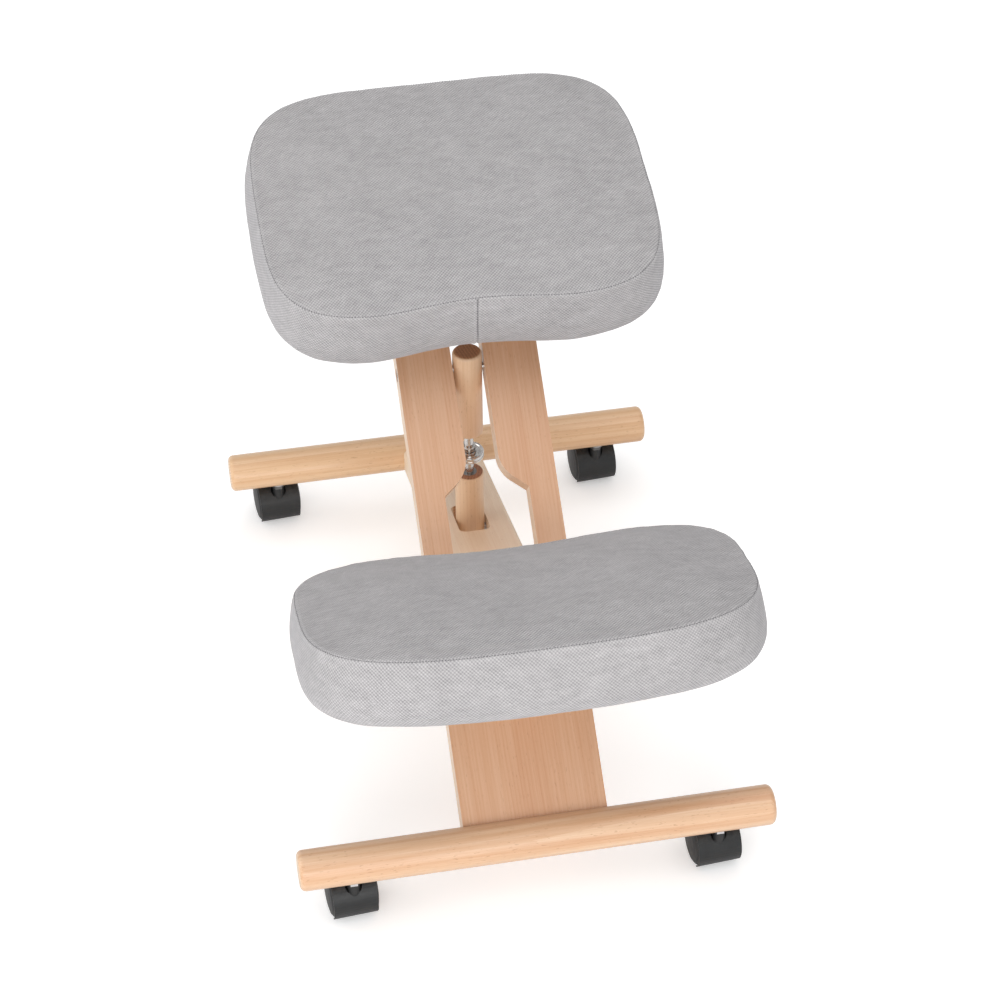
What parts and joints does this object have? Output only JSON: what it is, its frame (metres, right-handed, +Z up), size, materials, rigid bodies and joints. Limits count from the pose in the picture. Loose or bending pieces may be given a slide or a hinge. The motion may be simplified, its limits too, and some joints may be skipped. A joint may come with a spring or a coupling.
{
  "type": "kneeling massage chair",
  "caption": "Kneeling chair with padded seat and knee cushions on a crossed wooden frame that folds about a cross bolt, set by a screw adjuster, on swivelling twin-wheel casters.",
  "frame": {"origin": "on the floor, in the middle plane, midway between the axes of the two crossbars", "axes": "+X to the sitter's right-hand side as seen from the knee cushion, -Y towards the knee cushion, +Z up"},
  "size_m": [0.48, 0.7161, 0.5731],
  "materials": {
    "bar_wood": "satin varnish",
    "board_wood": "satin varnish",
    "beam_wood": "satin varnish",
    "strut_wood": "satin varnish",
    "pin_wood": "raw",
    "plywood": "raw",
    "cushion_fabric": "twill weave",
    "dust_cloth": "non-woven",
    "steel": "zinc plated",
    "bright_steel": "polished",
    "dark_steel": "plain",
    "nylon": "matte",
    "stem_zinc": "zinc plated",
    "caster_plastic": "fine texture",
    "wheel_plastic": "moulded"
  },
  "bodies": {
    "seat_frame": {"front_bar": "bar_wood", "fork_board": "board_wood", "fork_dowel_pins": "pin_wood", "fork_screws": "steel", "seat_cleats": "pin_wood", "seat_board": "plywood", "seat_cushion": "cushion_fabric", "seat_dust_cover": "dust_cloth", "seat_bolts": "steel", "seat_tee_nuts": "steel", "pivot_bolt": "steel", "pivot_nut": "steel", "pivot_washers": "nylon", "upper_bolt": "steel", "upper_nut": "steel", "front_sockets": "steel", "fl_stem": "stem_zinc", "fr_stem": "stem_zinc"},
    "knee_frame": {"rear_bar": "bar_wood", "knee_beam": "beam_wood", "beam_dowel_pins": "pin_wood", "beam_screws": "steel", "knee_board": "plywood", "knee_cushion": "cushion_fabric", "knee_dust_cover": "dust_cloth", "knee_bolts": "steel", "knee_tee_nuts": "steel", "lower_pin": "steel", "lower_pin_caps": "steel", "rear_sockets": "steel", "rl_stem": "stem_zinc", "rr_stem": "stem_zinc"},
    "upper_link": {"upper_strut": "strut_wood", "upper_insert": "dark_steel"},
    "collar": {"adjuster_collar": "bright_steel"},
    "screw": {"spindle": "bright_steel", "hand_wheel": "bright_steel"},
    "lower_link": {"lower_strut": "strut_wood", "lower_insert": "dark_steel"},
    "fl_caster": {"fl_housing": "caster_plastic", "fl_axle": "steel"},
    "fl_left_wheel": {"fl_wheel_left": "wheel_plastic"},
    "fl_right_wheel": {"fl_wheel_right": "wheel_plastic"},
    "fr_caster": {"fr_housing": "caster_plastic", "fr_axle": "steel"},
    "fr_left_wheel": {"fr_wheel_left": "wheel_plastic"},
    "fr_right_wheel": {"fr_wheel_right": "wheel_plastic"},
    "rl_caster": {"rl_housing": "caster_plastic", "rl_axle": "steel"},
    "rl_left_wheel": {"rl_wheel_left": "wheel_plastic"},
    "rl_right_wheel": {"rl_wheel_right": "wheel_plastic"},
    "rr_caster": {"rr_housing": "caster_plastic", "rr_axle": "steel"},
    "rr_left_wheel": {"rr_wheel_left": "wheel_plastic"},
    "rr_right_wheel": {"rr_wheel_right": "wheel_plastic"}
  },
  "joints": [
    {"name": "fold", "type": "hinge", "parent": "seat_frame", "child": "knee_frame", "pos_m": [0, -0.1016, 0.21987], "axis": [1, 0, 0], "range_deg": [-10, 8]},
    {"name": "upper_link_pivot", "type": "hinge", "parent": "seat_frame", "child": "upper_link", "pos_m": [0, 0.09185, 0.36939], "axis": [1, 0, 0], "range_deg": [-2.9, 2.3]},
    {"name": "screw_travel", "type": "slide", "parent": "upper_link", "child": "collar", "axis": [0, -0.0454, -0.999], "range_m": [-0.0132, 0.0165]},
    {"name": "hand_wheel_turn", "type": "hinge", "parent": "collar", "child": "screw", "pos_m": [0, 0.09185, 0.36939], "axis": [0, -0.0454, -0.999], "range_deg": [-2340, 2923]},
    {"name": "lower_link_travel", "type": "slide", "parent": "collar", "child": "lower_link", "axis": [0, -0.0454, -0.999], "range_m": [-0.0132, 0.0165]},
    {"name": "fl_swivel", "type": "hinge", "parent": "seat_frame", "child": "fl_caster", "pos_m": [-0.186, -0.298, 0.04], "axis": [0, 0, 1], "continuous": true},
    {"name": "fl_left_wheel_roll", "type": "hinge", "parent": "fl_caster", "child": "fl_left_wheel", "pos_m": [-0.18712, -0.28204, 0.025], "axis": [0.9976, 0.0698, 0], "continuous": true},
    {"name": "fl_right_wheel_roll", "type": "hinge", "parent": "fl_caster", "child": "fl_right_wheel", "pos_m": [-0.18712, -0.28204, 0.025], "axis": [0.9976, 0.0698, 0], "continuous": true},
    {"name": "fr_swivel", "type": "hinge", "parent": "seat_frame", "child": "fr_caster", "pos_m": [0.186, -0.298, 0.04], "axis": [0, 0, 1], "continuous": true},
    {"name": "fr_left_wheel_roll", "type": "hinge", "parent": "fr_caster", "child": "fr_left_wheel", "pos_m": [0.18488, -0.28204, 0.025], "axis": [0.9976, 0.0698, 0], "continuous": true},
    {"name": "fr_right_wheel_roll", "type": "hinge", "parent": "fr_caster", "child": "fr_right_wheel", "pos_m": [0.18488, -0.28204, 0.025], "axis": [0.9976, 0.0698, 0], "continuous": true},
    {"name": "rl_swivel", "type": "hinge", "parent": "knee_frame", "child": "rl_caster", "pos_m": [-0.186, 0.298, 0.04], "axis": [0, 0, 1], "continuous": true},
    {"name": "rl_left_wheel_roll", "type": "hinge", "parent": "rl_caster", "child": "rl_left_wheel", "pos_m": [-0.18712, 0.31396, 0.025], "axis": [0.9976, 0.0698, 0], "continuous": true},
    {"name": "rl_right_wheel_roll", "type": "hinge", "parent": "rl_caster", "child": "rl_right_wheel", "pos_m": [-0.18712, 0.31396, 0.025], "axis": [0.9976, 0.0698, 0], "continuous": true},
    {"name": "rr_swivel", "type": "hinge", "parent": "knee_frame", "child": "rr_caster", "pos_m": [0.186, 0.298, 0.04], "axis": [0, 0, 1], "continuous": true},
    {"name": "rr_left_wheel_roll", "type": "hinge", "parent": "rr_caster", "child": "rr_left_wheel", "pos_m": [0.18488, 0.31396, 0.025], "axis": [0.9976, 0.0698, 0], "continuous": true},
    {"name": "rr_right_wheel_roll", "type": "hinge", "parent": "rr_caster", "child": "rr_right_wheel", "pos_m": [0.18488, 0.31396, 0.025], "axis": [0.9976, 0.0698, 0], "continuous": true}
  ],
  "couplings": [
    {"joint": "upper_link_pivot", "follows": "fold", "ratio": 0.2743},
    {"joint": "screw_travel", "follows": "fold", "m_per_rad": -0.09289},
    {"joint": "lower_link_travel", "follows": "fold", "m_per_rad": -0.09289},
    {"joint": "hand_wheel_turn", "follows": "fold", "ratio": -291.8}
  ]
}
